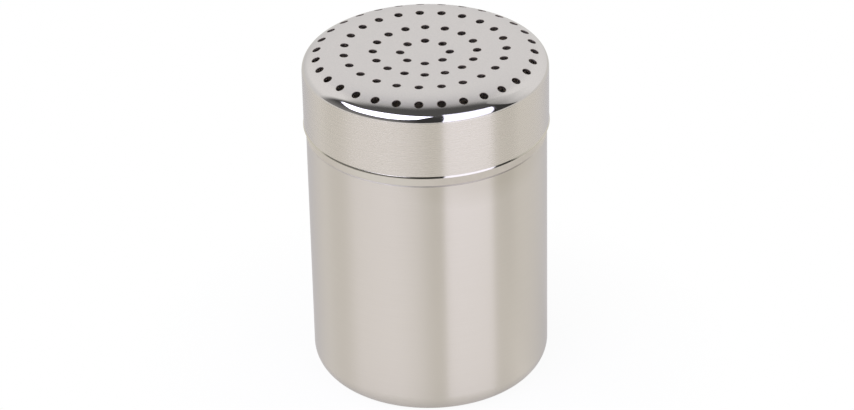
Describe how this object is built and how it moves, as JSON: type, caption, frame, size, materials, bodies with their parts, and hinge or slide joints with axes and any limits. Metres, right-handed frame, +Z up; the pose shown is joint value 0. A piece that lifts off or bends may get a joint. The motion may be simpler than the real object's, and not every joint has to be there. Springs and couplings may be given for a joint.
{
  "type": "sugar caster",
  "caption": "Stainless steel sugar caster: a straight drawn can with a rounded base under a push-on lid with rings of small round holes in its dished top, for shaking out sugar.",
  "frame": {"origin": "middle of the base, at the height of the foot ring that the can stands on", "axes": "+Z up along the can's axis, +X through the first hole of every ring, +Y away from the picture's camera"},
  "size_m": [0.0704, 0.0704, 0.1013],
  "materials": {
    "satin_steel": "fine brushing round the wall, satin base, plain neck under the lid",
    "lid_steel": "satin top, mirror-polished shoulder and lip, fine brushing round the skirt"
  },
  "bodies": {
    "can": {"can": "satin_steel"},
    "lid": {"perforated_lid": "lid_steel"}
  },
  "joints": [
    {"name": "lid_lift", "type": "slide", "parent": "can", "child": "lid", "axis": [0, 0, 1], "range_m": [0, 0.04]}
  ]
}
